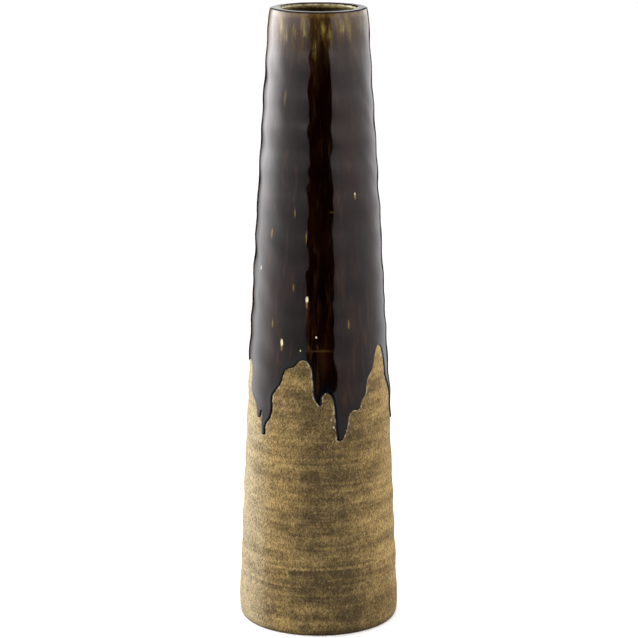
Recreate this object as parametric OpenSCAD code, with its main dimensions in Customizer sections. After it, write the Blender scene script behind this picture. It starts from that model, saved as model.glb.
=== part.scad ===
// Tall stoneware vase. Two thrown sections are joined by a tongue, a groove and slip.
// A dark glaze covers the inside, the lip and the upper outside, and ends in long runs.
// Millimetres, +Z up, with the origin at the middle of the foot.

/* [Body] */
// Overall height, with the glaze on the lip
height = 500; // [460:5:560]
// Radius of the clay that the taper starts from at the foot
foot_r = 65.8; // [62:0.2:72]
// Radius of the clay that the taper reaches at the lip
lip_r = 38.3; // [36:0.1:42]
// How far the sides bow out half way up
belly = 1.8; // [0:0.1:4]
// Height from one throwing ring to the next
ring_pitch = 28; // [20:1:40]
// How far a throwing ring stands out from the taper
ring_depth = 0.35; // [0:0.05:0.6]
// Height of the first throwing ring of the lower section
lower_ring_z = 24; // [16:1:40]
// Height of a throwing ring of the upper section
upper_ring_z = 317; // [300:1:340]

/* [Wall] */
// Thickness of the wall at the lip
lip_wall = 8.8; // [7.5:0.1:10]
// Thickness of the wall at the floor
base_wall = 10; // [8:0.2:12]
// Height of the inside floor over the ground
floor_z = 12; // [10:0.5:16]
// Radius of the curve from the floor into the wall
floor_round = 12; // [6:1:16]
// Radius of the two rounded edges of the lip
lip_round = 0.9; // [0.8:0.1:3]

/* [Foot] */
// Inner radius of the ring that the vase stands on
foot_inner_r = 52; // [44:1:56]
// Depth of the recess inside that ring
recess = 2.5; // [1:0.5:4]
// How far in the foot's rounded edge goes
foot_round_w = 2.3; // [1:0.1:4]
// How far up the foot's rounded edge goes
foot_round_h = 10.5; // [5:0.5:14]

/* [Seam] */
// Height of the joint between the two sections
seam_z = 260; // [252:4:300]
// How far the outside is drawn in at the joint
waist = 0.5; // [0:0.1:1]
// Width of the tongue on the lower section
tongue_w = 3; // [2:0.5:4]
// Height of that tongue
tongue_h = 4; // [3:0.5:6]
// Thickness of the slip that fills the joint
slip_t = 0.5; // [0.3:0.1:0.8]

/* [Glaze] */
// Thickness of the glaze on the outside
coat = 0.6; // [0.4:0.05:0.8]
// Extra thickness where the glaze gathers in the runs
bead = 0.5; // [0.2:0.05:0.8]
// Height where the glaze starts to gather
gather_z = 236; // [230:1:245]
// Thickness of the glaze on the inside
liner = 0.5; // [0.3:0.05:0.8]

/* [Hidden] */

// Height from one row of points to the next along a wall
step = 4;
// Number of straight pieces in a rounded edge
round_n = 6;
// Sides of everything round
$fn = 120;

// Lengths over which the rings fade out at the foot and the lip, and beside the joint
end_fade = 20;
seam_fade = 14;
// Half height of the drawn-in waist
waist_h = 6;
// Height over which the glaze reaches its full extra thickness
gather_h = 50;

// Top of the clay, and the height where its rounded lip begins
clay_top = height - coat;
shoulder_z = clay_top - lip_round;
// Lower and upper face of the slip in the joint
seam_low = seam_z - slip_t / 2;
seam_high = seam_z + slip_t / 2;
// Bottom of the ring of glaze that the runs are cut from
glaze_low = 156;
// Reach of a cutter: where it starts and how far out it goes
cut_from = 20;
cut_depth = 70;

// The bare arches between the runs, as angle and height, going round from the left.
// Angle 0 faces -Y and 90 faces +X. Each arch starts and ends on the flat tip of a run.
// No height is a multiple of step, so that no corner falls on the joint of two rows.
ARCHES = [
    [[-57, 175], [-54, 175], [-52, 181], [-51, 169], [-50, 162], [-47, 162]],
    [[-50, 162], [-47, 162], [-46, 171], [-42, 177], [-40, 185], [-39, 197], [-33, 205],
     [-30, 214], [-27, 219], [-21, 221], [-16, 226], [-11, 227], [-7, 222], [-5, 211],
     [-4, 198], [0, 191], [2, 191]],
    [[0, 191], [2, 191], [3, 198], [6, 201], [10, 199], [12, 193], [13, 182], [14, 167],
     [15, 162], [18, 162]],
    [[15, 162], [18, 162], [22, 169], [24, 175], [26, 183], [29, 185], [35, 186], [36, 191],
     [41, 197], [44, 209], [49, 215], [54, 226], [60, 233], [66, 229], [68, 218], [70, 207],
     [76, 197], [82, 185], [86, 170], [88, 166], [91, 166]],
    [[88, 166], [91, 166], [94, 177], [97, 194], [103, 206], [111, 215], [117, 211],
     [120, 198], [122, 182], [124, 175], [127, 175]],
    [[124, 175], [127, 175], [129, 191], [134, 209], [141, 221], [149, 225], [155, 217],
     [159, 202], [161, 185], [163, 169], [165, 159], [168, 159]],
    [[165, 159], [168, 159], [170, 170], [173, 187], [178, 201], [184, 205], [188, 201],
     [190, 190], [192, 186], [195, 186]],
    [[192, 186], [195, 186], [197, 201], [203, 218], [211, 227], [219, 226], [224, 211],
     [226, 194], [228, 178], [230, 171], [233, 171]],
    [[230, 171], [233, 171], [235, 187], [240, 203], [248, 211], [258, 217], [268, 213],
     [279, 217], [287, 218], [290, 210], [291, 197], [294, 191], [299, 186], [301, 181],
     [303, 175], [306, 175]]
];

// Radius of the plain taper at height z
function taper(z) =
    let (t = z / height)
    foot_r + (lip_r - foot_r) * t + 4 * belly * t * (1 - t);

// How much of a throwing ring is left at height z, from 0 to 1
function ring_share(z) = max(0, min(1,
    (z - foot_round_h) / end_fade,
    (shoulder_z - z) / end_fade,
    abs(z - seam_z) / seam_fade));

// How far the throwing rings stand out at height z
function rings(z) =
    let (crest = z < seam_z ? lower_ring_z : upper_ring_z)
    ring_depth * ring_share(z) * cos(360 * (z - crest) / ring_pitch);

// Outside radius of the clay at height z, above the foot's rounded edge
function side(z) = taper(z) + rings(z) - waist * exp(-pow((z - seam_z) / waist_h, 2));

// Thickness and inside radius of the wall at height z
function wall(z) = base_wall + (lip_wall - base_wall) * z / height;
function inside(z) = side(z) - wall(z);

// Thickness of the outer glaze at height z
function coat_at(z) = coat + bead * max(0, min(1, (gather_z - z) / gather_h));

// Heights of the rows of points from z0 to z1
function rows(z0, z1) = concat(
    [z0],
    [for (k = [floor(z0 / step) + 1 : ceil(z1 / step) - 1]) k * step],
    [z1]);

// Points on part of an ellipse round [x, z]
function arc(x, z, rx, rz, from, to) =
    [for (i = [0 : round_n])
        let (a = from + (to - from) * i / round_n)
        [x + rx * cos(a), z + rz * sin(a)]];

function reversed(list) = [for (i = [len(list) - 1 : -1 : 0]) list[i]];

// Outlines over the lip, from outside to inside, with a skin of thickness t
function lip_line(t) = concat(
    arc(side(shoulder_z) - lip_round, shoulder_z, lip_round + t, lip_round + t, 0, 90),
    arc(inside(shoulder_z) + lip_round, shoulder_z, lip_round + t, lip_round + t, 90, 180));

// Line down the inside wall and over the floor, with a skin of thickness t
function inner_line(t) =
    let (start = floor_z + floor_round, r = floor_round - t)
    concat(
        [for (z = reversed(rows(start, shoulder_z))) [inside(z) - t, z]],
        arc(inside(start) - floor_round, start, r, r, 0, -90),
        [[0, floor_z + t]]);

// Whole clay body as one outline, from the middle of the recess round to the floor
module clay_body() {
    foot_flat_r = side(foot_round_h) - foot_round_w;
    rotate_extrude()
        polygon(concat(
            [[0, recess], [foot_inner_r - recess, recess], [foot_inner_r, 0]],
            arc(foot_flat_r, foot_round_h, foot_round_w, foot_round_h, -90, 0),
            [for (z = rows(foot_round_h, shoulder_z)) [side(z), z]],
            lip_line(0),
            inner_line(0)));
}

// Square-edged ring between two radii and two heights
module ring(r0, r1, z0, z1) {
    rotate_extrude()
        translate([r0, z0])
            square([r1 - r0, z1 - z0]);
}

// Plain disc that is wider than the vase, for cutting the body across
module slab(z0, z1) {
    translate([0, 0, z0])
        cylinder(r = foot_r + cut_from, h = z1 - z0);
}

// Tongue of the joint, and the same widened and raised by a skin of thickness t
module tongue(t) {
    middle_r = side(seam_z) - wall(seam_z) / 2;
    half = tongue_w / 2 + t;
    ring(middle_r - half, middle_r + half, seam_low, seam_low + tongue_h + t);
}

// Floor, foot and lower wall, with the tongue on top
module lower_section() {
    color("tan") {
        difference() {
            clay_body();
            slab(seam_low, height + step);
        }
        tongue(0);
    }
}

// Upper wall and lip, with the groove underneath
module upper_section() {
    color("burlywood")
        difference() {
            clay_body();
            slab(-step, seam_high);
            tongue(slip_t);
        }
}

// Slip between the sections, over the tongue and across the wall
module luting_slip() {
    color("darkkhaki")
        difference() {
            union() {
                intersection() {
                    clay_body();
                    slab(seam_low, seam_high);
                }
                tongue(slip_t);
            }
            tongue(0);
        }
}

// Cutter for one bare arch, pushed out along the arch's middle direction
module bare_arch(points) {
    first = points[0][0];
    last = points[len(points) - 1][0];
    middle = (first + last) / 2;
    edge = [for (p = points)
        [(side(p[1]) + coat_at(p[1]) / 2) * sin(p[0] - middle), p[1]]];
    rotate([0, 0, middle])
        rotate([90, 0, 0])
            translate([0, 0, cut_from])
                linear_extrude(cut_depth)
                    polygon(concat(
                        edge,
                        [[edge[len(edge) - 1][0], glaze_low - step]],
                        [[edge[0][0], glaze_low - step]]));
}

// Glaze over the lip and down the outside, with the bare arches cut out between the runs
module outer_glaze() {
    outside_rows = rows(glaze_low, shoulder_z);
    color([0.12, 0.07, 0.05])
        difference() {
            rotate_extrude()
                polygon(concat(
                    [for (z = outside_rows) [side(z) + coat_at(z), z]],
                    lip_line(coat),
                    reversed(lip_line(0)),
                    [for (z = reversed(outside_rows)) [side(z), z]]));
            for (points = ARCHES)
                bare_arch(points);
        }
}

// Glaze down the inside wall and over the floor
module liner_glaze() {
    color([0.35, 0.26, 0.1])
        rotate_extrude()
            polygon(concat(inner_line(0), reversed(inner_line(liner))));
}

lower_section();
upper_section();
luting_slip();
outer_glaze();
liner_glaze();
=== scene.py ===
import math

import bmesh
import bpy
import numpy as np
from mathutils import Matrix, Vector, kdtree, noise
from mathutils.geometry import delaunay_2d_cdt


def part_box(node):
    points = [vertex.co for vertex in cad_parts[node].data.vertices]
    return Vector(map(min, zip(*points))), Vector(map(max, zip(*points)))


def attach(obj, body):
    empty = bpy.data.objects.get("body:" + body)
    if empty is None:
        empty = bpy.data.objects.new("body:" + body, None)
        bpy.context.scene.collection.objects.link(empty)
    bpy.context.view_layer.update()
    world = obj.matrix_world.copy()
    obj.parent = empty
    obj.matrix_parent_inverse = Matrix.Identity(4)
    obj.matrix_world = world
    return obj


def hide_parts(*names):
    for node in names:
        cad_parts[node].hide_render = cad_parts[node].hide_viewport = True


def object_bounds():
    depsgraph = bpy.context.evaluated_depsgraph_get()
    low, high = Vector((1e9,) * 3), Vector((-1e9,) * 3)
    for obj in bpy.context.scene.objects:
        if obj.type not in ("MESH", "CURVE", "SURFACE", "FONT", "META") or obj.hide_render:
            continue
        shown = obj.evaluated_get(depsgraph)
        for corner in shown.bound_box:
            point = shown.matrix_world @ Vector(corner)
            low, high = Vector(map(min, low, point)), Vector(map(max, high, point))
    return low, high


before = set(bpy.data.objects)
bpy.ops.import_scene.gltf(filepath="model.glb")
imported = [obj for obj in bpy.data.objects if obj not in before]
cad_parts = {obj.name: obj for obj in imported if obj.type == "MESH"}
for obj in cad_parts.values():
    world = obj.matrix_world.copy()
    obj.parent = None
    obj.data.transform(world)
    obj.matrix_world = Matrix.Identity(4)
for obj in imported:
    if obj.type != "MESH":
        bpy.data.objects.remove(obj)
cad_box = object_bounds()

# ---------------------------------------------------------------- sizes, in metres

MM = 0.001
CLAY = ("lower_section", "upper_section")

HEIGHT = cad_box[1].z
FOOT_ROUND_W, FOOT_ROUND_H = 2.3 * MM, 10.5 * MM
LIP_ROUND, COAT, LINER = 0.9 * MM, 0.6 * MM, 0.5 * MM
SHOULDER_Z = HEIGHT - COAT - LIP_ROUND
# The glaze rounds the lip's inner edge more than the clay does, crowns the top a little,
# and slopes it down towards the inside
INNER_ROUND, CROWN, SLOPE = 2.4 * MM, 0.12 * MM, 0.12 * MM
LINER_TOP = HEIGHT - INNER_ROUND
# The wall leans in this far below the lip, over this height
LEAN, LEAN_H = 0.35 * MM, 10 * MM
FLOOR_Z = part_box("liner_glaze")[0].z
FLOOR_ROUND = 12 * MM
# Above the floor's curve, where the inside wall starts
INSIDE_START = 24 * MM
SEAM_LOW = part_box("luting_slip")[0].z
SLIP = 0.5 * MM
SEAM_HIGH = SEAM_LOW + SLIP
TONGUE_W, TONGUE_H = 3 * MM, 4 * MM

# Glaze: it thickens below GATHER_Z over GATHER_H by BEAD, and its skin is sunk into the clay
GATHER_Z, GATHER_H, BEAD = 236 * MM, 50 * MM, 0.55 * MM
SUNK = 0.08 * MM

# Bare clay reaches up to here. Its throwing lines wander up and down by this much, and are
# given as height and depth in millimetres, and the turn of the wander in radians
BARE_TOP = 236 * MM
LINE_WANDER = 0.8 * MM
THROWING_LINES = ((56, 0.13, 0.4), (40.4, 0.1, 1.9), (74, 0.1, 3.1), (97, 0.1, 4.4),
                  (121, 0.09, 0.9), (146, 0.09, 2.6), (168, 0.07, 5.1), (23, 0.08, 3.7))

# Pale beads of glaze beside the runs: degrees, and height and radius in millimetres
BEADS = ((64, 224, 1.0), (12, 173, 0.8), (70, 201, 0.6), (-36, 206, 0.5), (31, 190, 0.5),
         (10, 179, 0.5), (112, 219, 0.8), (152, 229, 0.7), (205, 232, 0.9), (258, 221, 0.6))

# The mesh attribute that says how far from the glaze's edge a point is, and its value where
# no edge is near
EDGE_GAP = "edge_gap"
FAR_INSIDE = 50 * MM
# Its value on the pale beads
PALE_BEAD = -1 * MM

# Round things have one column a degree, starting where the glaze's edge is level
COLUMNS = 360
FIRST_ANGLE = -96.0

# The bare arches between the runs, as in the CAD source: degrees and millimetres,
# going round from the left, with 0 facing -Y and 90 facing +X
ARCHES = (
    ((-57, 175), (-54, 175), (-52, 181), (-51, 169), (-50, 162), (-47, 162)),
    ((-50, 162), (-47, 162), (-46, 171), (-42, 177), (-40, 185), (-39, 197), (-33, 205),
     (-30, 214), (-27, 219), (-21, 221), (-16, 226), (-11, 227), (-7, 222), (-5, 211),
     (-4, 198), (0, 191), (2, 191)),
    ((0, 191), (2, 191), (3, 198), (6, 201), (10, 199), (12, 193), (13, 182), (14, 167),
     (15, 162), (18, 162)),
    ((15, 162), (18, 162), (22, 169), (24, 175), (26, 183), (29, 185), (35, 186), (36, 191),
     (41, 197), (44, 209), (49, 215), (54, 226), (60, 233), (66, 229), (68, 218), (70, 207),
     (76, 197), (82, 185), (86, 170), (88, 166), (91, 166)),
    ((88, 166), (91, 166), (94, 177), (97, 194), (103, 206), (111, 215), (117, 211),
     (120, 198), (122, 182), (124, 175), (127, 175)),
    ((124, 175), (127, 175), (129, 191), (134, 209), (141, 221), (149, 225), (155, 217),
     (159, 202), (161, 185), (163, 169), (165, 159), (168, 159)),
    ((165, 159), (168, 159), (170, 170), (173, 187), (178, 201), (184, 205), (188, 201),
     (190, 190), (192, 186), (195, 186)),
    ((192, 186), (195, 186), (197, 201), (203, 218), (211, 227), (219, 226), (224, 211),
     (226, 194), (228, 178), (230, 171), (233, 171)),
    ((230, 171), (233, 171), (235, 187), (240, 203), (248, 211), (258, 217), (268, 213),
     (279, 217), (287, 218), (290, 210), (291, 197), (294, 191), (299, 186), (301, 181),
     (303, 175), (306, 175)),
)


# ---------------------------------------------------------------- the CAD wall

def clay_points(names):
    """Radius and height of every vertex of these CAD nodes."""
    points = np.array([v.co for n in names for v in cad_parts[n].data.vertices])
    return np.hypot(points[:, 0], points[:, 1]), np.round(points[:, 2], 5)


def wall_profile(pick, lowest):
    """Heights and radii of the CAD wall, outside for np.max and inside for np.min.

    Only heights with points on both sides of the wall count, so the joint's own
    tongue and groove are left out.
    """
    radii, heights = clay_points(CLAY)
    half_wall = 5 * MM
    levels = [z for z in np.unique(heights)
              if z >= lowest and np.ptp(radii[heights == z]) > half_wall]
    return np.array(levels), np.array([pick(radii[heights == z]) for z in levels])


OUTSIDE = wall_profile(np.max, FOOT_ROUND_H)
INSIDE = wall_profile(np.min, INSIDE_START)


def softened(profile, z):
    """Radius of a profile at heights z, with its corners rounded off."""
    offsets = np.array((-3, -1.5, 0, 1.5, 3)) * MM
    weights = np.array((1, 2, 3, 2, 1)) / 9
    return sum(w * np.interp(z + o, *profile) for o, w in zip(offsets, weights))


def faded(z, low, high, length):
    """1 between low and high, and 0 at them, over a smooth ramp of this length."""
    share = np.clip(np.minimum(z - low, high - z) / length, 0, 1)
    return share * share * (3 - 2 * share)


def waves(angle, z, seed, count, turns, pitch):
    """Gentle random unevenness that meets itself round the pot, about -1 to 1."""
    rng = np.random.default_rng(seed)
    total = 0
    for _ in range(count):
        n = rng.integers(turns[0], turns[1] + 1)
        length = rng.uniform(*pitch)
        phase, slant = rng.uniform(0, math.tau, 2)
        total = total + np.cos(n * angle + math.tau * z / length + phase) * math.sin(slant)
    return total / math.sqrt(count / 2)


def clay_radius(angle, z):
    """Outside radius of the clay, with the unevenness of a wall thrown by hand."""
    share = faded(z, FOOT_ROUND_H * 0.2, SHOULDER_Z, 25 * MM)
    climb = 3.5 * MM * np.sin(angle - 0.6) + 2.0 * MM * waves(angle, z, 3, 6, (1, 3), (0.09, 0.2))
    radius = softened(OUTSIDE, z + climb * share)
    radius = radius + 0.14 * MM * share * waves(angle, z, 5, 10, (1, 4), (0.02, 0.08))
    fine = np.cos(math.tau * (z - 4 * MM * np.sin(angle + 1.1)) / (11 * MM))
    dents = waves(angle, z, 7, 14, (5, 13), (0.02, 0.05))
    # Finger marks that come and go four times round the pot
    touched = 0.5 + 0.5 * np.cos(4 * (angle + 0.3))
    fingers = touched * waves(angle, z, 11, 16, (14, 26), (0.012, 0.03))
    lean = LEAN * np.clip((z - SHOULDER_Z) / LEAN_H + 1, 0, 1) ** 2
    return radius + share * MM * (0.03 * fine + 0.07 * dents + 0.035 * fingers) - lean


def inner_radius(angle, z):
    """Inside radius of the clay."""
    share = faded(z, 30 * MM, SHOULDER_Z, 25 * MM)
    return softened(INSIDE, z) + 0.15 * MM * share * waves(angle, z, 9, 10, (1, 3), (0.03, 0.1))


# ---------------------------------------------------------------- mesh helpers

ANGLES = np.radians(FIRST_ANGLE + np.arange(COLUMNS) * 360 / COLUMNS)


def ring(radius, z):
    """Points of one ring, where radius and z are numbers or hold one value a column."""
    radius = np.broadcast_to(radius, COLUMNS)
    return np.stack((radius * np.sin(ANGLES), -radius * np.cos(ANGLES),
                     np.broadcast_to(z, COLUMNS)), axis=1)


def steps(start, end, spacing):
    """Evenly spaced values from start to end, both included."""
    return np.linspace(start, end, max(2, round(abs(end - start) / spacing) + 1))


def arc(r, z, rx, rz, start, end, count):
    """Points (r, z) on part of an ellipse, from one angle in degrees to another."""
    turn = np.radians(np.linspace(start, end, count + 1))
    return [(r + rx * math.cos(t), z + rz * math.sin(t)) for t in turn]


class Mesh:
    """Collects rings and loose faces, and welds them into one object."""

    def __init__(self):
        self.points, self.faces, self.gaps, self.count = [], [], [], 0

    def add(self, points, faces, gaps=FAR_INSIDE):
        """Adds points, their faces, and how far from the glaze's edge each point lies."""
        self.faces += [tuple(int(i) + self.count for i in f) for f in faces]
        self.points.append(np.asarray(points, float))
        self.gaps.append(np.broadcast_to(gaps, len(points)))
        self.count += len(points)

    def lathe(self, rings, closed=False, gaps=FAR_INSIDE):
        """Faces between each ring and the next, and back to the first if closed."""
        rows = len(rings)
        index = np.arange(rows * COLUMNS).reshape(rows, COLUMNS)
        pairs = [(i, (i + 1) % rows) for i in range(rows if closed else rows - 1)]
        faces = []
        for a, b in pairs:
            low, high = index[a], index[b]
            faces += list(zip(low, np.roll(low, -1), np.roll(high, -1), high))
        self.add(np.concatenate(rings), faces, gaps)

    def cap(self, rim, z):
        """Triangles from a ring to a point on the axis."""
        points = np.vstack((rim, (0, 0, z)))
        ids = np.arange(COLUMNS)
        self.add(points, list(zip(ids, np.roll(ids, -1), [COLUMNS] * COLUMNS)))

    def make(self, name):
        mesh = bpy.data.meshes.new(name)
        mesh.from_pydata(np.concatenate(self.points).tolist(), [], self.faces)
        gaps = mesh.attributes.new(EDGE_GAP, "FLOAT", "POINT")
        gaps.data.foreach_set("value", np.concatenate(self.gaps))
        bm = bmesh.new()
        bm.from_mesh(mesh)
        bmesh.ops.remove_doubles(bm, verts=bm.verts, dist=1e-6)
        bmesh.ops.dissolve_degenerate(bm, edges=bm.edges, dist=1e-7)
        bmesh.ops.recalc_face_normals(bm, faces=bm.faces)
        for face in bm.faces:
            face.smooth = True
        bm.to_mesh(mesh)
        bm.free()
        piece = bpy.data.objects.new(name, mesh)
        bpy.context.scene.collection.objects.link(piece)
        return piece


def seam_middle():
    """Radius of the middle of the wall at the joint."""
    return (softened(OUTSIDE, SEAM_LOW) + softened(INSIDE, SEAM_LOW)) / 2


def tongue_corners(skin):
    """The joint's tongue from outside to inside, grown by a skin of slip."""
    middle, half = seam_middle(), TONGUE_W / 2 + skin
    top = SEAM_LOW + TONGUE_H + skin
    return [(middle + half, SEAM_LOW), (middle + half, top),
            (middle - half, top), (middle - half, SEAM_LOW)]


# ---------------------------------------------------------------- clay

def lower_section():
    """Foot, floor and lower wall, turned in one path from the recess to the floor."""
    radii, heights = clay_points(["lower_section"])
    on_ground = radii[heights < 0.01 * MM]
    foot_in, foot_out = on_ground.min(), on_ground.max()
    recess = heights[radii < foot_in - MM].min()
    ease = 0.8 * MM

    mesh = Mesh()
    under = [ring(r, recess) for r in steps(8 * MM, foot_in - recess - ease, 8 * MM)]
    under += [ring(foot_in - recess, recess * 0.85), ring(foot_in - ease, ease * 0.6)]
    under += [ring(foot_in + ease * 0.3, 0), ring((foot_in + foot_out) / 2, 0)]
    foot = arc(foot_out, FOOT_ROUND_H, FOOT_ROUND_W, FOOT_ROUND_H, -90, 0, 10)
    swell = clay_radius(ANGLES, FOOT_ROUND_H) - foot_out - FOOT_ROUND_W
    under += [ring(r + swell * min(1, z / FOOT_ROUND_H), z) for r, z in foot]
    wall = [ring(clay_radius(ANGLES, z) + throwing_lines(ANGLES, z) + clay_tooth(z), z)
            for z in steps(FOOT_ROUND_H, BARE_TOP, 1.2 * MM)[1:]]
    wall += [ring(clay_radius(ANGLES, z), z) for z in steps(BARE_TOP, SEAM_LOW, 4 * MM)[1:]]
    joint = [ring(r, z) for r, z in tongue_corners(0)]
    start = FLOOR_Z + FLOOR_ROUND
    inner = [ring(inner_radius(ANGLES, z), z) for z in steps(SEAM_LOW, start, 8 * MM)]
    curve = arc(softened(INSIDE, start) - FLOOR_ROUND, start, FLOOR_ROUND, FLOOR_ROUND, 0, -90, 8)
    inner += [ring(r, z) for r, z in curve[1:]]
    inner += [ring(r, FLOOR_Z) for r in steps(36 * MM, 8 * MM, 9 * MM)]
    rings = under + wall + joint + inner
    points = np.concatenate(rings)
    around = np.arctan2(points[:, 0], -points[:, 1]) * UNROLL_R
    tree = edge_tree(edge_curve())
    mesh.lathe(rings, gaps=[tree.find((u, z, 0))[2] for u, z in zip(around, points[:, 2])])
    mesh.cap(rings[0], recess)
    mesh.cap(rings[-1], FLOOR_Z)
    return mesh.make("clay_lower_section")


def throwing_lines(angle, z):
    """Narrow ridges that a finger or a rib left in the bare clay, as [height, strength]."""
    total = 0
    for height, strength, turn in THROWING_LINES:
        wander = LINE_WANDER * np.sin(angle + turn) + 0.3 * MM * np.sin(3 * angle + 2 * turn)
        away = z - height * MM - wander
        ridge = np.exp(-(away / (1.1 * MM)) ** 2) - 0.7 * np.exp(-((away + 3 * MM) / (2 * MM)) ** 2)
        total = total + strength * MM * ridge
    return total


def clay_tooth(z):
    """Small scale roughness of the bare clay round one ring."""
    around = 1 / (1.6 * MM)
    radius = softened(OUTSIDE, z)
    return np.array([
        noise.noise(Vector((radius * math.sin(a), radius * math.cos(a), z)) * around)
        for a in ANGLES]) * 0.05 * MM


def upper_section():
    """Upper wall and lip, all of it under glaze, with the groove underneath."""
    mesh = Mesh()
    rings = [ring(clay_radius(ANGLES, z), z) for z in steps(SEAM_HIGH, SHOULDER_Z, 4 * MM)]
    out, inn = softened(OUTSIDE, SHOULDER_Z) - LEAN, softened(INSIDE, SHOULDER_Z)
    lip = arc(out - LIP_ROUND, SHOULDER_Z, LIP_ROUND, LIP_ROUND, 0, 90, 6)[1:]
    lip += arc(inn + LIP_ROUND, SHOULDER_Z, LIP_ROUND, LIP_ROUND, 90, 180, 6)
    rings += [ring(r, z) for r, z in lip]
    rings += [ring(inner_radius(ANGLES, z), z) for z in steps(SHOULDER_Z, SEAM_HIGH, 5 * MM)[1:]]
    groove = [(r, max(z, SEAM_HIGH)) for r, z in reversed(tongue_corners(SLIP))]
    rings += [ring(r, z) for r, z in groove]
    mesh.lathe(rings, closed=True)
    return mesh.make("clay_upper_section")


def luting_slip():
    """Slip over the tongue and across the wall on both sides of it."""
    mesh = Mesh()
    over = [(r, max(z, SEAM_HIGH)) for r, z in tongue_corners(SLIP)]
    rings = [ring(clay_radius(ANGLES, z), z) for z in (SEAM_LOW, SEAM_HIGH)]
    rings += [ring(r, z) for r, z in over]
    rings += [ring(inner_radius(ANGLES, z), z) for z in (SEAM_HIGH, SEAM_LOW)]
    rings += [ring(r, z) for r, z in reversed(tongue_corners(0))]
    mesh.lathe(rings, closed=True)
    return mesh.make("joint_slip")


# ---------------------------------------------------------------- glaze

# The runs are drawn on the wall unrolled at this radius; u is the length round it
UNROLL_R = 59 * MM
AROUND = math.tau * UNROLL_R
DRIP_TOP = 240 * MM
EDGE_SPACING = 0.6 * MM
# Rows of points that round the edge off, as distances from it
EDGE_ROWS = np.array((0.1, 0.25, 0.45, 0.75, 1.15, 1.7, 2.4, 3.3)) * MM
OPEN_SPACING = 2.2 * MM


def edge_curve():
    """The glaze's lower edge once round the pot, as closely spaced points (u, z)."""
    corners = [(math.radians(a) * UNROLL_R, z * MM) for arch in ARCHES for a, z in arch[2:]]
    lap = Vector((AROUND, 0))
    base = [Vector(c) for c in corners]
    loop = [base[-1] - lap] + base + [base[0] + lap, base[1] + lap]
    points = []
    for p0, p1, p2, p3 in zip(loop, loop[1:], loop[2:], loop[3:]):
        # Knots spaced by the square root of each chord, which makes no loops
        t1 = math.sqrt((p1 - p0).length)
        t2 = t1 + math.sqrt((p2 - p1).length)
        t3 = t2 + math.sqrt((p3 - p2).length)
        for t in np.linspace(t1, t2, max(2, round((p2 - p1).length / EDGE_SPACING)),
                             endpoint=False):
            a1 = p0.lerp(p1, t / t1)
            a2 = p1.lerp(p2, (t - t1) / (t2 - t1))
            a3 = p2.lerp(p3, (t - t2) / (t3 - t2))
            b1 = a1.lerp(a2, t / t2)
            b2 = a2.lerp(a3, (t - t1) / (t3 - t1))
            points.append(b1.lerp(b2, (t - t1) / (t2 - t1)))
    # A little wander, so that the edge isn't drawn too clean
    curve = []
    for p in points:
        angle = p.x / UNROLL_R
        spot = Vector((math.sin(angle), math.cos(angle), p.y / UNROLL_R)) * 14
        curve.append((p.x + 0.35 * MM * noise.noise(spot), p.y + 0.5 * MM * noise.noise(spot * 1.3)))
    curve = np.array(curve)
    # Start it at FIRST_ANGLE, where it runs level
    u0 = math.radians(FIRST_ANGLE) * UNROLL_R
    wrapped = (curve[:, 0] - u0) % AROUND
    first = int(np.argmin(wrapped))
    curve = np.roll(curve, -first, axis=0)
    curve[:, 0] = u0 + (curve[:, 0] - u0) % AROUND
    jump = np.cumsum(np.diff(curve[:, 0], prepend=curve[0, 0]) < -AROUND / 2)
    curve[:, 0] += jump * AROUND
    curve[0, 0] = u0
    return np.vstack((curve, curve[0] + (AROUND, 0)))


def edge_tree(curve):
    """A tree of the edge's points, and of its copies one turn to each side."""
    laps = np.vstack([curve[:-1] + (k * AROUND, 0) for k in (-1, 0, 1)])
    tree = kdtree.KDTree(len(laps))
    for i, (u, z) in enumerate(laps):
        tree.insert((u, z, 0), i)
    tree.balance()
    return tree


def inward(curve):
    """Unit vectors from the edge into the glaze, which lies above it."""
    along = np.gradient(curve, axis=0)
    along /= np.linalg.norm(along, axis=1)[:, None]
    return np.stack((-along[:, 1], along[:, 0]), axis=1)


def coat_thickness(distance, angle, z):
    """Glaze thickness at a distance from the edge: rounded off, and thicker in the runs."""
    gather = np.clip((GATHER_Z - z) / GATHER_H, 0, 1)
    full = COAT + BEAD * gather
    roll = np.clip(distance / (full * 1.15), 0, 1)
    rounded = np.sqrt(1 - (1 - roll) ** 2)
    swell = 0.1 * full * np.exp(-((distance - 1.6 * MM) / (1.3 * MM)) ** 2)
    sag = 0.05 * MM * waves(angle, z, 21, 12, (3, 14), (0.02, 0.09))
    sag = sag * np.clip(distance / (4 * MM), 0, 1)
    return full * rounded + swell + sag - SUNK * (1 - rounded)


def on_wall(u, z, thickness):
    """Points on the clay wall from unrolled places, raised by a thickness."""
    angle = u / UNROLL_R
    radius = clay_radius(angle, z) + thickness
    return np.stack((radius * np.sin(angle), -radius * np.cos(angle), z), axis=1)


def triangulated(outline, inside):
    """Triangles that fill an outline and use the loose points inside it."""
    places = [Vector(p) for p in np.vstack((outline, inside))]
    loop = list(range(len(outline)))
    found = delaunay_2d_cdt(places, [], [loop], 1, 1e-9)
    return np.array([tuple(v) for v in found[0]]), found[2]


def open_points(curve, tree, spacing, clear):
    """Evenly staggered places in the glaze, at least clear from its edge."""
    low, high = curve[:, 1].min(), DRIP_TOP - spacing * 0.6
    u0, u1 = curve[0, 0] + spacing * 0.5, curve[-1, 0] - spacing * 0.5
    normals = inward(curve)
    total = len(curve) - 1
    kept = []
    for row, z in enumerate(np.arange(high, low, -spacing * 0.87)):
        for u in np.arange(u0 + (row % 2) * spacing / 2, u1, spacing):
            near, index, gap = tree.find((u, z, 0))
            side = normals[index % total].dot((u - near.x, z - near.y))
            if gap > clear and side > 0:
                kept.append((u, z))
    return kept


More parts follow.
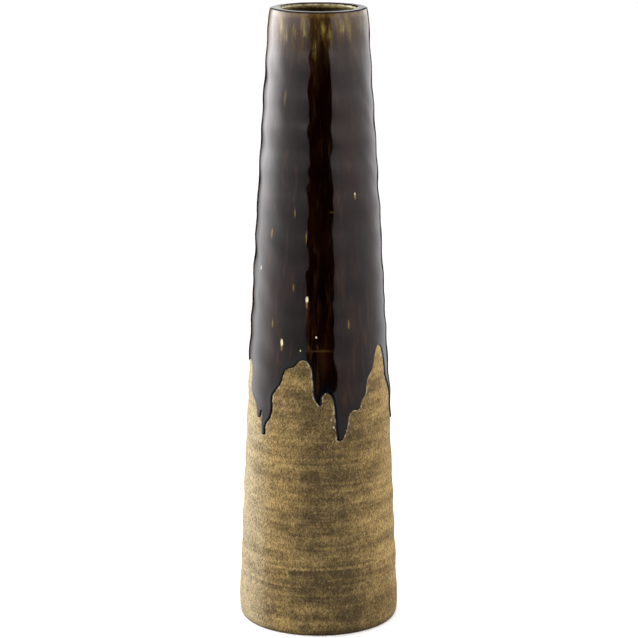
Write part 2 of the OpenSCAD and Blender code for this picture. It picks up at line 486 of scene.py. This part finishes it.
def border(curve):
    """The drip zone's whole outline: its edge, the two cut sides and the top."""
    side = steps(curve[-1, 1], DRIP_TOP, 1.6 * MM)[1:-1]
    right = [(curve[-1, 0], z) for z in side]
    top = [(curve[0, 0] + AROUND * k / COLUMNS, DRIP_TOP) for k in range(COLUMNS, -1, -1)]
    left = [(curve[0, 0], z) for z in side[::-1]]
    return np.vstack((curve, right, top, left))


def droplet(mesh, angle, height, radius):
    """A small closed bead of glaze on the clay, beside the runs."""
    sides = 16
    turn = np.arange(sides) * math.tau / sides
    middle = np.array((math.radians(angle) * UNROLL_R, height)) * (1, MM)
    radius = radius * MM
    places, lifts = [middle], [0.6 * radius]
    for share in (0.35, 0.65, 0.85, 0.96, 1.0):
        oval = np.stack((np.cos(turn), 1.3 * np.sin(turn)), axis=1)
        places += list(middle + radius * share * oval)
        lifts += [0.6 * radius * math.sqrt(1 - share * share) - SUNK * share] * sides
    places.append(middle)
    lifts.append(-3 * SUNK)
    places = np.array(places)
    last = len(places) - 1
    around = [(k, (k + 1) % sides) for k in range(sides)]
    faces = [(0, 1 + a, 1 + b) for a, b in around]
    for row in range(1, last - sides, sides):
        faces += [(row + a, row + b, row + sides + b, row + sides + a) for a, b in around]
    faces += [(last, last - sides + b, last - sides + a) for a, b in around]
    mesh.add(on_wall(places[:, 0], places[:, 1], np.array(lifts)), faces, PALE_BEAD)


def outer_glaze():
    """Glaze over the lip and down the outside, with rounded runs."""
    curve = edge_curve()
    tree = edge_tree(curve)
    normals = inward(curve)
    outline = border(curve)

    # Visible skin of the runs
    rows = []
    for gap in EDGE_ROWS:
        for u, z in curve + normals * gap:
            inside = curve[0, 0] + 0.3 * MM < u < curve[-1, 0] - 0.3 * MM
            if inside and z < DRIP_TOP - MM and tree.find((u, z, 0))[2] > gap * 0.93:
                rows.append((u, z))
    rows += open_points(curve, tree, OPEN_SPACING, EDGE_ROWS[-1] + 0.8 * MM)
    flat, faces = triangulated(outline, np.array(rows))
    u, z = flat[:, 0], flat[:, 1]
    gaps = np.array([tree.find((p[0], p[1], 0))[2] for p in flat])
    mesh = Mesh()
    mesh.add(on_wall(u, z, coat_thickness(gaps, u / UNROLL_R, z)), faces, gaps)

    # Hidden skin against the clay
    flat, faces = triangulated(outline, np.array(open_points(curve, tree, 5 * MM, 2.5 * MM)))
    mesh.add(on_wall(flat[:, 0], flat[:, 1], -SUNK), faces)

    # Upper wall, lip and the hidden skin behind them
    rings = []
    for height in steps(DRIP_TOP, SHOULDER_Z, 2 * MM):
        coat = coat_thickness(FAR_INSIDE, ANGLES, height)
        rings.append(ring(clay_radius(ANGLES, height) + coat, height))
    # Over the lip, from outside to inside
    out, inn = softened(OUTSIDE, SHOULDER_Z) - LEAN, softened(INSIDE, SHOULDER_Z)
    edge, skin = LIP_ROUND + COAT, inn - COAT
    lip = arc(out - LIP_ROUND, SHOULDER_Z, edge, edge, 0, 90, 9)[1:]
    inner = arc(skin + INNER_ROUND, LINER_TOP, INNER_ROUND, INNER_ROUND, 90, 180, 10)
    lip += [(r, HEIGHT) for r in np.linspace(lip[-1][0], inner[0][0], 6)[1:-1]] + inner
    level = 0.15 * MM * waves(ANGLES, 0, 31, 6, (1, 5), (1, 2))
    middle, half = (lip[0][0] + skin) / 2, (lip[0][0] - skin) / 2
    for r, height in lip:
        rise = max(0, (height - SHOULDER_Z) / edge)
        across = (r - middle) / half
        drop = 0.15 * MM + CROWN * across * across + SLOPE * (1 - across)
        rings.append(ring(r, height - (drop - level) * rise * rise))
    rings.append(ring(inn, LINER_TOP))
    back = arc(inn + LIP_ROUND, SHOULDER_Z, LIP_ROUND, LIP_ROUND, 180, 90, 4)[1:]
    back += arc(out - LIP_ROUND, SHOULDER_Z, LIP_ROUND, LIP_ROUND, 90, 0, 4)
    rings += [ring(r - SUNK, height - SUNK) for r, height in back]
    rings += [ring(clay_radius(ANGLES, height) - SUNK, height)
              for height in steps(SHOULDER_Z, DRIP_TOP, 5 * MM)[1:]]
    mesh.lathe(rings)
    for bead in BEADS:
        droplet(mesh, *bead)
    return mesh.make("dark_outer_glaze")


def liner_glaze():
    """Glaze down the inside wall and over the floor."""
    low, high = FLOOR_Z, FLOOR_Z + LINER
    start = low + FLOOR_ROUND
    mesh = Mesh()
    hidden = [ring(inner_radius(ANGLES, z), z) for z in steps(start, LINER_TOP, 8 * MM)]
    shown = [ring(inner_radius(ANGLES, z) - LINER, z) for z in steps(LINER_TOP, start, 5 * MM)]
    bottom = []
    for skin, turn in ((0, (-90, 0)), (LINER, (0, -90))):
        centre = softened(INSIDE, start) - FLOOR_ROUND
        r = FLOOR_ROUND - skin
        bottom.append([ring(x, z) for x, z in arc(centre, start, r, r, *turn, 8)])
    flat = steps(8 * MM, 36 * MM, 9 * MM)
    rings = [ring(r, low) for r in flat] + bottom[0][:-1] + hidden
    rings += shown + bottom[1][1:] + [ring(r, high) for r in flat[::-1]]
    mesh.lathe(rings)
    mesh.cap(rings[0], low)
    mesh.cap(rings[-1], high)
    return mesh.make("liner_glaze_coat")


# ---------------------------------------------------------------- materials

class Shader:
    """Adds nodes to one shader tree. Each call returns the new node's output."""

    def __init__(self, tree):
        self.nodes, self.link = tree.nodes, tree.links.new

    def add(self, kind, inputs=(), output=0, **settings):
        node = self.nodes.new("ShaderNode" + kind)
        for name, value in settings.items():
            setattr(node, name, value)
        for name, value in dict(inputs).items():
            if isinstance(value, bpy.types.NodeSocket):
                self.link(value, node.inputs[name])
            else:
                node.inputs[name].default_value = value
        return node.outputs[output] if node.outputs else None

    def math(self, operation, *values):
        return self.add("Math", dict(enumerate(values)), operation=operation)

    def product(self, *values):
        total = values[0]
        for value in values[1:]:
            total = self.math("MULTIPLY", total, value)
        return total

    def ease(self, value, low, high, start=0.0, end=1.0):
        """Goes smoothly from start to end while value goes from low to high."""
        return self.add("MapRange", {"Value": value, "From Min": low, "From Max": high,
                                     "To Min": start, "To Max": end},
                        output="Result", interpolation_type="SMOOTHSTEP")

    def ramp(self, value, low, high, start=0.0, end=1.0):
        """Goes straight from start to end while value goes from low to high."""
        return self.add("MapRange", {"Value": value, "From Min": low, "From Max": high,
                                     "To Min": start, "To Max": end}, output="Result")

    def stretch(self, place, scale):
        return self.add("VectorMath", {0: place, 1: scale}, operation="MULTIPLY")

    def noise(self, place, scale, detail=2.0, roughness=0.5, output="Fac"):
        """Noise about 0.5, with scale features a metre along x, y and z."""
        return self.add("TexNoise", {"Vector": self.stretch(place, scale), "Scale": 1.0,
                                     "Detail": detail, "Roughness": roughness}, output=output)

    def mix(self, share, first, second, kind="MIX"):
        inputs = {"Fac": share}
        for name, value in (("Color1", first), ("Color2", second)):
            inputs[name] = (*value, 1) if isinstance(value, tuple) else value
        return self.add("MixRGB", inputs, blend_type=kind)

    def bump(self, height, depth, below=None):
        """A normal for relief of this depth in metres, on top of another normal."""
        inputs = {"Height": height, "Distance": depth, "Strength": 1.0}
        if below:
            inputs["Normal"] = below
        return self.add("Bump", inputs, output="Normal")

    def twisted(self, place, turns):
        """The place turned about the axis by so many radians a metre of height."""
        height = self.add("SeparateXYZ", {0: place}, output="Z")
        return self.add("VectorRotate", {"Vector": place, "Angle": self.math("MULTIPLY", height, turns)},
                        rotation_type="Z_AXIS")

    def unrolled(self, place):
        """Length round the pot from the front, and height, as a flat place in metres."""
        x, y, z = self.add("SeparateXYZ", {0: place}).node.outputs
        angle = self.math("ARCTAN2", x, self.math("MULTIPLY", y, -1))
        return self.add("CombineXYZ", {"X": self.math("MULTIPLY", angle, UNROLL_R), "Y": z}), z


def new_material(name):
    """An empty material, the maker of its nodes, its shader's inputs and the place on the piece."""
    material = bpy.data.materials.new(name)
    material.use_nodes = True
    shader = Shader(material.node_tree)
    place = shader.add("TexCoord", output="Object")
    return material, shader, material.node_tree.nodes["Principled BSDF"].inputs, place


def finish_material(shader, inputs, **values):
    """Sets or links the Principled shader's inputs, where names use _ for a space."""
    for name, value in values.items():
        socket = inputs[name.replace("_", " ")]
        if isinstance(value, bpy.types.NodeSocket):
            shader.link(value, socket)
        else:
            socket.default_value = value


# Marks in the dark glaze: degrees, height, half width and half length in millimetres
CREAM_MARKS = ((36, 358, 0.9, 1.3), (-10, 276, 1.5, 3.0), (-32, 240, 1.5, 3.6), (-61, 296, 0.5, 2.6),
               (-2, 246, 0.9, 0.8), (-15, 235, 0.7, 0.7), (96, 330, 1.0, 1.8), (171, 268, 1.3, 3.0),
               (-118, 301, 1.2, 2.2))
OCHRE_MARKS = ((-10, 272, 1.2, 4.5), (-32, 236, 1.5, 3.5), (26, 255, 1.1, 4.2), (-42, 254, 1.2, 4.0),
               (-22, 285, 0.9, 4.0), (36, 356, 1.6, 2.4), (-22, 344, 0.8, 5.0), (-47, 326, 1.3, 5.0),
               (-11, 325, 0.8, 6.0), (171, 263, 1.2, 4.0), (-118, 297, 1.3, 3.6), (132, 402, 1.0, 5.0),
               (-152, 372, 1.1, 5.0), (74, 291, 1.0, 5.0))
# Warm places in the thick glaze above the runs, thin olive lines, and amber patches under the lip
WARM_MARKS = ((4, 228, 6, 13), (29, 262, 7, 17), (-24, 290, 4, 12), (21, 296, 5, 16),
              (140, 262, 8, 16), (-140, 270, 8, 18))
OLIVE_MARKS = ((2, 235, 15, 1.3), (-8, 237, 1.2, 3.4), (-1, 238, 1.0, 3.0), (12, 345, 3.5, 1.6),
               (150, 305, 14, 1.2))
AMBER_MARKS = ((-46, 488, 3.0, 8), (-38, 483, 3.2, 7), (-29, 485, 2.5, 9), (-14, 484, 3.0, 5),
               (-4, 470, 2.4, 9), (5, 487, 3.4, 6), (12, 482, 2.4, 8), (37, 487, 4.4, 10),
               (27, 489, 3.6, 7), (55, 489, 3.0, 8), (92, 488, 4.0, 9), (128, 484, 3.0, 8),
               (166, 490, 4.0, 7), (-160, 486, 3.2, 8), (-121, 488, 4.0, 7), (-84, 485, 3.0, 8))


def marks(shader, flat, places):
    """How near the closest mark is: 0 at its middle and 1 on its outline."""
    nearest = None
    for angle, height, half_width, half_length in places:
        scale = (1 / (half_width * MM), 1 / (half_length * MM), 1)
        offset = (-math.radians(angle) * UNROLL_R * scale[0], -height * MM * scale[1], 0)
        local = shader.add("VectorMath", {0: flat, 1: scale, 2: offset}, operation="MULTIPLY_ADD")
        away = shader.add("VectorMath", {0: local}, output="Value", operation="LENGTH")
        nearest = away if nearest is None else shader.math("MINIMUM", nearest, away)
    return nearest


def ragged(shader, flat, place, scale, reach):
    """The flat place pushed about by noise, so that what is drawn there has a ragged outline."""
    push = shader.noise(place, scale, 3, 0.6, output="Color")
    push = shader.add("VectorMath", {0: push, 1: (0.5, 0.5, 0.5)}, operation="SUBTRACT")
    push = shader.add("VectorMath", {0: push, 1: reach}, operation="MULTIPLY")
    return shader.add("VectorMath", {0: flat, 1: push}, operation="ADD")


def dark_glaze():
    """Iron-brown glaze: nearly black, with warm streaks, an amber rim with a painted highlight round its
    inner edge, and blue-black run ends.
    """
    material, s, inputs, place = new_material("dark_glaze")
    flat, height = s.unrolled(place)
    broad = s.noise(place, (42, 42, 13), 2)
    hair = s.noise(place, (380, 380, 40), 4, 0.6)
    band = s.noise(place, (150, 150, 18), 3, 0.6)

    colour = s.mix(s.ease(broad, 0.42, 0.68), (0.0017, 0.0004, 0.0002), (0.0058, 0.0013, 0.0006))
    # The streaks are closer together low on the wall
    low_down = s.ease(height, 350 * MM, 270 * MM, 0.0, 0.04)
    streak = s.product(s.ease(s.math("ADD", hair, low_down), 0.47, 0.7),
                       s.ease(s.math("ADD", band, low_down), 0.44, 0.64))
    colour = s.mix(s.product(streak, 0.62), colour, (0.034, 0.014, 0.0055))
    lit_up = marks(s, ragged(s, flat, place, (90, 90, 40), (12 * MM, 16 * MM, 0)), WARM_MARKS)
    colour = s.mix(s.ease(lit_up, 1.3, 0.1, 0.0, 0.4), colour, (0.03, 0.011, 0.003))

    # Small drawn-out crystals, few of them strong
    cell = s.add("TexVoronoi", {"Vector": s.stretch(place, (120, 120, 22)), "Scale": 1.0}).node
    chosen = s.ease(s.add("SeparateXYZ", {0: cell.outputs["Color"]}), 0.7, 1.0)
    fleck = s.product(s.ease(cell.outputs["Distance"], 0.22, 0.05), chosen, s.ease(hair, 0.4, 0.6))
    colour = s.mix(s.product(fleck, 0.55), colour, (0.15, 0.09, 0.028))

    # The glaze runs thin under the lip and turns amber
    lifted = s.math("ADD", height, s.product(s.math("SUBTRACT", band, 0.5), 70 * MM))
    brown = s.ease(lifted, HEIGHT - 52 * MM, HEIGHT - 2 * MM)
    colour = s.mix(s.product(brown, 0.85), colour, (0.036, 0.019, 0.0075))
    thin = s.ease(lifted, HEIGHT - 36 * MM, HEIGHT)
    drip = s.noise(s.twisted(place, 1.5), (240, 240, 42), 4, 0.7)
    fibres = s.noise(place, (1150, 1150, 60), 2, 0.6)
    amber = s.mix(s.ease(drip, 0.52, 0.7), (0.06, 0.034, 0.009), (0.15, 0.105, 0.024))
    colour = s.mix(s.product(thin, s.ease(drip, 0.4, 0.58)), colour, amber)
    blurred = ragged(s, flat, place, (430, 430, 130), (8 * MM, 17 * MM, 0))
    near = marks(s, blurred, AMBER_MARKS)
    patchy = s.product(s.ease(drip, 0.38, 0.62, 0.2, 0.85), s.ease(fibres, 0.36, 0.6, 0.5, 1.0))
    colour = s.mix(s.product(s.ease(near, 1.3, 0.1), patchy), colour, (0.25, 0.195, 0.05))
    # Thinnest of all on the top of the wall and thick on the lip's top, with a pale ochre painted
    # highlight round the lip's inner edge
    wall_top = s.product(s.ease(height, HEIGHT - 6.4 * MM, HEIGHT - 2.4 * MM),
                         s.ease(drip, 0.36, 0.6, 0.35, 0.95))
    colour = s.mix(wall_top, colour, (0.125, 0.078, 0.022))
    lip_top = s.ease(height, HEIGHT - 1.7 * MM, HEIGHT - 1.1 * MM, 0.0, 0.95)
    colour = s.mix(lip_top, colour, (0.008, 0.005, 0.003))
    # Painted highlight: pale ochre round the lip's inner edge, standing for the light it mirrors
    lip_middle = (clay_radius(0, SHOULDER_Z) + inner_radius(0, SHOULDER_Z)) / 2
    out = s.add("VectorMath", {0: s.stretch(place, (1, 1, 0))}, output="Value", operation="LENGTH")
    inner_edge_highlight = s.product(s.ease(out, lip_middle - 2.2 * MM, lip_middle - 3.2 * MM),
                           s.ease(height, HEIGHT - 0.6 * MM, HEIGHT - 1.2 * MM))
    ochre_highlight = s.mix(s.ease(drip, 0.3, 0.6), (0.17, 0.12, 0.04), (0.52, 0.47, 0.28))
    colour = s.mix(inner_edge_highlight, colour, ochre_highlight)

    # Crystals that stand out in the glaze
    shaped = ragged(s, flat, place, (700, 700, 260), (1.3 * MM, 2.4 * MM, 0))
    near = marks(s, shaped, OLIVE_MARKS)
    colour = s.mix(s.product(s.ease(near, 1.2, 0.0), 0.6), colour, (0.058, 0.032, 0.0075))
    near = marks(s, shaped, OCHRE_MARKS)
    colour = s.mix(s.product(s.ease(near, 1.1, 0.2), 0.75), colour, (0.2, 0.125, 0.03))
    near = marks(s, shaped, CREAM_MARKS)
    colour = s.mix(s.ease(near, 1.0, 0.6), colour, (0.66, 0.6, 0.37))

    # Thick and blue-black at the ends of the runs, and pale where a bead stands alone
    gap = s.add("Attribute", output="Fac", attribute_name=EDGE_GAP)
    wander = s.product(s.math("SUBTRACT", band, 0.5), 14 * MM)
    thick = s.ease(s.math("ADD", gap, wander), 9 * MM, 1 * MM)
    colour = s.mix(s.product(thick, 0.9), colour, (0.0018, 0.0028, 0.0044))
    colour = s.mix(s.ease(gap, PALE_BEAD * 0.1, PALE_BEAD * 0.9), colour, (0.6, 0.52, 0.34))

    roughness = s.ease(s.noise(place, (60, 60, 30), 3), 0.3, 0.7, 0.045, 0.09)
    swell = s.bump(s.noise(place, (75, 75, 45), 2), 0.12 * MM)
    peel = s.bump(s.noise(place, (900, 900, 700), 1), 0.0025 * MM, swell)
    finish_material(s, inputs, Base_Color=colour, Roughness=roughness, Normal=peel, IOR=1.52)
    return material


def liner_glaze_material():
    """The same glaze where it is thin and amber, inside, painted nearly black below the rim as shade."""
    material, s, inputs, place = new_material("liner")
    height = s.add("SeparateXYZ", {0: place}, output="Z")
    broad = s.noise(place, (60, 60, 30), 3)
    hair = s.noise(place, (380, 380, 40), 3, 0.6)
    colour = s.mix(s.ease(broad, 0.35, 0.65), (0.10, 0.065, 0.015), (0.32, 0.23, 0.07))
    colour = s.mix(s.product(s.ease(hair, 0.45, 0.65), 0.7), colour, (0.5, 0.42, 0.18))
    # Painted shade: nearly black a few millimetres below the rim and deeper inside
    deep_painted_shade = s.ease(height, HEIGHT - 1.4 * MM, HEIGHT - 4.4 * MM, 0.0, 0.97)
    colour = s.mix(deep_painted_shade, colour, (0.013, 0.0065, 0.0014))
    roughness = s.ease(broad, 0.3, 0.7, 0.06, 0.14)
    normal = s.bump(s.noise(place, (120, 120, 60), 3), 0.06 * MM)
    finish_material(s, inputs, Base_Color=colour, Roughness=roughness, Normal=normal, IOR=1.52,
                    Specular_IOR_Level=0.2)
    return material


def toward(s, place, turn):
    """How far the place faces a direction, in degrees from the front: 1 at it, 0 at its side."""
    turn = math.radians(turn)
    way = (math.sin(turn) / UNROLL_R, -math.cos(turn) / UNROLL_R, 0)
    return s.add("VectorMath", {0: place, 1: way}, output="Value", operation="DOT_PRODUCT")


# The directions of the wash at the front, which also stands for painted shade there, and the back,
# of the cream clay and of the thinnest wash, which both also stand for a painted sheen, in degrees from
# the front
WASH_AND_SHADE_FRONT, WASH_BACK, CREAM_AND_SHEEN_SIDE, THIN_WASH_AND_SHEEN_SIDE = 4, 195, -80, -50


def stoneware():
    """Bare clay, rubbed with a dark wash that stays in the grain and the throwing lines, with painted
    shade along the foot, partly painted shade on the front and a partly painted sheen on the paler left.
    """
    material, s, inputs, place = new_material("stoneware")
    flat, height = s.unrolled(place)
    # Grain drawn out along two slanting directions, like the marks of a coarse brush
    hatch = [s.noise(s.twisted(place, turns), (820, 820, 330), 3, 0.7) for turns in (6.5, -7.5)]
    grit = s.noise(place, (1100, 1100, 900), 2, 0.7)
    grain = s.product(s.math("ADD", s.math("ADD", *hatch), grit), 1 / 3)
    brushed = s.noise(s.twisted(place, 3), (170, 170, 70), 4, 0.7)

    patches = s.noise(place, (65, 65, 120), 5, 0.66)
    bands = s.noise(place, (9, 9, 120), 4, 0.6)
    lines = s.noise(place, (26, 26, 440), 3, 0.6)
    clouds = s.noise(place, (16, 16, 20), 2)
    # More wash at the front, partly painted shade where the front faces away from the side lights, and
    # some at the back and beside the glaze
    front_wash_and_shade, back = (s.math("ARCCOSINE", s.math("MINIMUM", toward(s, place, way), 1.0))
                   for way in (WASH_AND_SHADE_FRONT, WASH_BACK))
    away = s.math("MINIMUM", front_wash_and_shade, s.math("ADD", back, math.radians(20)))
    level = s.ramp(away, 0, math.radians(75), 0.27, -0.17)
    level = s.math("ADD", level, s.ease(height, 140 * MM, 195 * MM, 0.0, 0.06))
    # Less wash towards the left, partly a painted sheen of the bright left light
    thinner_wash_and_sheen = s.ease(toward(s, place, THIN_WASH_AND_SHEEN_SIDE), 0.68, 1.0, 0.0, 0.075)
    level = s.math("SUBTRACT", level, thinner_wash_and_sheen)
    for part, weight in ((patches, 0.68), (bands, 0.62), (lines, 0.36), (clouds, 0.25), (brushed, 0.26)):
        level = s.math("ADD", level, s.product(part, weight))
    # Less wash stays on the sharpest throwing lines, and more just beneath them
    for line_height, strength, turn in THROWING_LINES[:2]:
        line, below = throwing_line(s, flat, height, line_height, turn)
        broken = s.ease(s.math("ADD", patches, s.math("SUBTRACT", brushed, 0.5)), 0.42, 0.62)
        level = s.math("SUBTRACT", level, s.product(line, broken, strength * 2.4))
        level = s.math("ADD", level, s.product(below, s.ease(brushed, 0.42, 0.6), strength * 1.4))
    # The wash level, which also carries the painted shade on the front and the painted sheen on the left
    wash_and_shade = s.ramp(level, 0.85, 1.41)

    tint = s.product(s.math("ADD", clouds, bands), 0.5)
    colour = s.mix(s.ease(tint, 0.4, 0.6), (0.485, 0.333, 0.117), (0.34, 0.228, 0.077))
    # Cream clay towards the left, partly a painted sheen of the bright left light
    cream_and_sheen = s.product(s.ease(toward(s, place, CREAM_AND_SHEEN_SIDE), 0.7, 1.04), 0.85)
    colour = s.mix(cream_and_sheen, colour, (0.53, 0.45, 0.28))
    colour = s.mix(s.product(wash_and_shade, 0.93), colour, (0.058, 0.0395, 0.0137))
    # The grain holds more wash where the wash is heavy
    hair = s.ease(grain, 0.455, 0.6)
    colour = s.mix(s.product(hair, 0.78), colour, (0.03, 0.02, 0.007))
    light = s.product(s.ease(grain, 0.47, 0.41), s.ease(wash_and_shade, 0, 1, 0.56, 0.17))
    colour = s.mix(light, colour, (0.54, 0.394, 0.178))
    # Painted shade: darker along the bottom edge that the vase stands on
    colour = s.mix(s.ease(height, 2.6 * MM, 0.8 * MM, 0.0, 0.55), colour, (0.03, 0.021, 0.01))
    # A pale broken line where the clay meets the glaze
    gap = s.add("Attribute", output="Fac", attribute_name=EDGE_GAP)
    spots = s.noise(place, (330, 330, 210), 3, 0.7)
    halo = s.product(s.ease(gap, 1.5 * MM, 0.4 * MM), s.ease(spots, 0.46, 0.62), 0.8)
    colour = s.mix(halo, colour, (0.62, 0.53, 0.36))

    roughness = s.ease(grain, 0.3, 0.7, 0.75, 0.95)
    coarse = s.bump(patches, 0.3 * MM)
    normal = s.bump(grain, 0.3 * MM, coarse)
    finish_material(s, inputs, Base_Color=colour, Roughness=roughness, Normal=normal,
                    Specular_IOR_Level=0.3)
    return material


def throwing_line(s, flat, height, line_height, turn):
    """Where one throwing line is, and where the hollow beneath it is, both from 0 to 1."""
    angle = s.product(s.add("SeparateXYZ", {0: flat}), 1 / UNROLL_R)
    wander = s.product(s.math("SINE", s.math("ADD", angle, turn)), LINE_WANDER)
    away = s.math("SUBTRACT", s.math("SUBTRACT", height, line_height * MM), wander)
    line = s.ease(s.math("ABSOLUTE", away), 1.8 * MM, 0.2 * MM)
    beneath = s.math("ABSOLUTE", s.math("ADD", away, 3.6 * MM))
    return line, s.ease(beneath, 3.2 * MM, 0.5 * MM)


def slip_clay():
    """Fine slip, darker and smoother than the clay."""
    material, s, inputs, place = new_material("slip")
    grit = s.noise(place, (700, 700, 700), 3, 0.6)
    colour = s.mix(s.ease(grit, 0.35, 0.65), (0.3, 0.22, 0.12), (0.2, 0.14, 0.07))
    normal = s.bump(grit, 0.05 * MM)
    finish_material(s, inputs, Base_Color=colour, Roughness=0.85, Normal=normal)
    return material


# ---------------------------------------------------------------- stage

def floor():
    """A plain pale floor that the glaze doesn't mirror."""
    bpy.ops.mesh.primitive_circle_add(vertices=128, radius=12, fill_type="NGON")
    disc = bpy.context.object
    disc.name = "floor"
    disc.visible_glossy = False
    material, shader, inputs, _ = new_material("floor_paint")
    finish_material(shader, inputs, Base_Color=(0.92, 0.92, 0.92, 1), Roughness=0.9)
    disc.data.materials.append(material)


# Two upright soft panels stand this far to the left and right, up to this height
PANEL_X, PANEL_TOP = 0.28, 0.66
# Their brightness along the floor, by degrees from the camera as seen from the vase
LEFT_ALONG = ((-19, 0.42), (-40, 0.6), (-60, 0.85), (-75, 1.3), (-90, 2.1), (-105, 2.7),
              (-122, 2.75), (-136, 1.3), (-146, 0.45), (-152, 0))
RIGHT_ALONG = ((26, 0.56), (40, 0.7), (70, 0.78), (100, 0.95), (127, 1.36), (146, 1.2), (154, 0.3))
# and up from the floor, by metres
PANEL_UP = ((0, 0.68), (0.16, 0.8), (0.22, 0.9), (0.29, 1.0), (0.44, 1.45), (0.5, 1.8), (0.54, 2.5),
            (0.61, 2.5), (PANEL_TOP, 0))
# What the top of the left panel has on top of that
GLOW_ALONG = ((-70, 0), (-92, 0.8), (-104, 1), (-120, 0.8), (-138, 0.1), (-145, 0))
GLOW_UP = ((0.24, 0), (0.29, 0.1), (0.44, 1.9), (0.5, 2.6), (0.61, 2.6), (PANEL_TOP, 0))
# Dim light behind the vase, by degrees from the camera and degrees above the horizon
BEHIND_AROUND = ((125, 0), (140, 1.2), (160, 1.15), (180, 1.15))
BEHIND_UP = ((0, 0), (1.5, 1), (6.5, 1), (9, 0))
# Colour of the panels near the camera and further round, and the degrees that count as these
LEFT_NEAR, RIGHT_NEAR, FAR_ROUND = (1, 0.93, 0.94), (1, 0.89, 0.86), (1, 0.98, 1)
NEAR_TURN, FAR_TURN = 60, 125
# Light from overhead, by degrees above the horizon, and the share of it that the glaze mirrors
ABOVE = ((40, 0), (55, 1))
ABOVE_LEVEL, ABOVE_MIRRORED = 3.2, 0.12
# The camera's place and tilt: sideways, how many heights of the vase away and up, and degrees
EYE_X, EYE_AWAY, EYE_UP, EYE_DOWN = 0.3 * MM, 3.766, 1.4, 13.5


def brightness(s, value, stops):
    """Brightness along a value, by stops of value and level."""
    start, end = stops[0][0], stops[-1][0]
    top = max(level for _, level in stops)
    share = s.add("MapRange", {"Value": value, "From Min": start, "From Max": end},
                  output="Result")
    ramp = s.add("ValToRGB", {"Fac": share}).node
    elements = ramp.color_ramp.elements
    while len(elements) < len(stops):
        elements.new(0.5)
    for element, (at, level) in zip(elements, stops):
        element.position = (at - start) / (end - start)
        element.color = (level / top, level / top, level / top, 1)
    return s.product(ramp.outputs["Color"], top)


def along_panel(stops):
    """Stops by degrees from the camera as stops by y on a panel."""
    return [(-PANEL_X / math.tan(math.radians(abs(turn))), level) for turn, level in stops]


def panel(name, side, along, colour, glow=None):
    """An upright soft light beside the vase, on the left for side -1 and the right for 1."""
    places = along_panel(along)
    start, end = places[0][0], places[-1][0]
    data = bpy.data.lights.new(name, "AREA")
    data.shape = "RECTANGLE"
    data.size, data.size_y = PANEL_TOP, end - start
    # With this energy the shader's strength is the panel's brightness
    data.energy = math.pi * data.size * data.size_y
    data.use_nodes = True
    s = Shader(data.node_tree)
    x, y, z = s.add("SeparateXYZ", {0: s.add("NewGeometry", output="Position")}).node.outputs
    light = s.product(brightness(s, y, places), brightness(s, z, PANEL_UP))
    if glow:
        extra = s.product(brightness(s, y, along_panel(glow)), brightness(s, z, GLOW_UP))
        light = s.math("ADD", light, extra)
    emission = data.node_tree.nodes["Emission"].inputs
    s.link(light, emission["Strength"])
    near, far = (-PANEL_X / math.tan(math.radians(turn)) for turn in (NEAR_TURN, FAR_TURN))
    s.link(s.mix(s.ease(y, near, far), colour, FAR_ROUND), emission["Color"])
    lamp = bpy.data.objects.new(name, data)
    lamp.location = (side * PANEL_X, (start + end) / 2, PANEL_TOP / 2)
    lamp.rotation_euler = (0, side * math.radians(90), 0)
    bpy.context.scene.collection.objects.link(lamp)


def studio():
    """Soft panels left and right of the vase with a dark gap between them, and light above."""
    panel("left_panel", -1, LEFT_ALONG, LEFT_NEAR, GLOW_ALONG)
    panel("right_panel", 1, RIGHT_ALONG, RIGHT_NEAR)
    world = bpy.data.worlds.new("studio")
    bpy.context.scene.world = world
    world.use_nodes = True
    world.node_tree.nodes.clear()
    s = Shader(world.node_tree)
    x, y, z = s.add("SeparateXYZ", {0: s.add("TexCoord", output="Generated")}).node.outputs
    rise = s.product(s.math("ARCSINE", z), 180 / math.pi)
    turn = s.math("ARCTAN2", s.math("ABSOLUTE", x), s.math("MULTIPLY", y, -1))
    turn = s.product(turn, 180 / math.pi)
    behind = s.product(brightness(s, turn, BEHIND_AROUND), brightness(s, rise, BEHIND_UP))
    # The glaze mirrors little of the overhead light, which is there for the floor and the clay
    mirrored = s.add("LightPath", output="Is Glossy Ray")
    above = s.product(brightness(s, rise, ABOVE), ABOVE_LEVEL, s.ease(mirrored, 0, 1, 1, ABOVE_MIRRORED))
    lit = s.add("Background", {"Strength": s.math("ADD", behind, above)})
    white = s.add("Background", {"Strength": 1.0, "Color": (1, 1, 1, 1)})
    seen = s.add("LightPath", output="Is Camera Ray")
    shown = s.add("MixShader", {0: seen, 1: lit, 2: white})
    s.add("OutputWorld", {"Surface": shown})


def camera():
    """The camera looks slightly down at the vase from the front, through a long lens."""
    data = bpy.data.cameras.new("camera")
    data.lens = 135
    data.sensor_width = 36
    eye = bpy.data.objects.new("camera", data)
    eye.location = (EYE_X, -EYE_AWAY * HEIGHT, EYE_UP * HEIGHT)
    eye.rotation_euler = (math.radians(90 - EYE_DOWN), 0, 0)
    bpy.context.scene.collection.objects.link(eye)
    bpy.context.scene.camera = eye


# ---------------------------------------------------------------- the scene

clay = stoneware()
PIECES = (
    (lower_section, "lower_section", "stoneware", clay),
    (upper_section, "upper_section", "stoneware", clay),
    (luting_slip, "luting_slip", "slip", slip_clay()),
    (outer_glaze, "outer_glaze", "dark_glaze", dark_glaze()),
    (liner_glaze, "liner_glaze", "liner", liner_glaze_material()),
)
for build, node, slot, material in PIECES:
    piece = build()
    piece.data.materials.append(material)
    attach(piece, "root")
    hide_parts(node)

floor()
studio()
camera()
bpy.context.scene.view_settings.view_transform = "Standard"
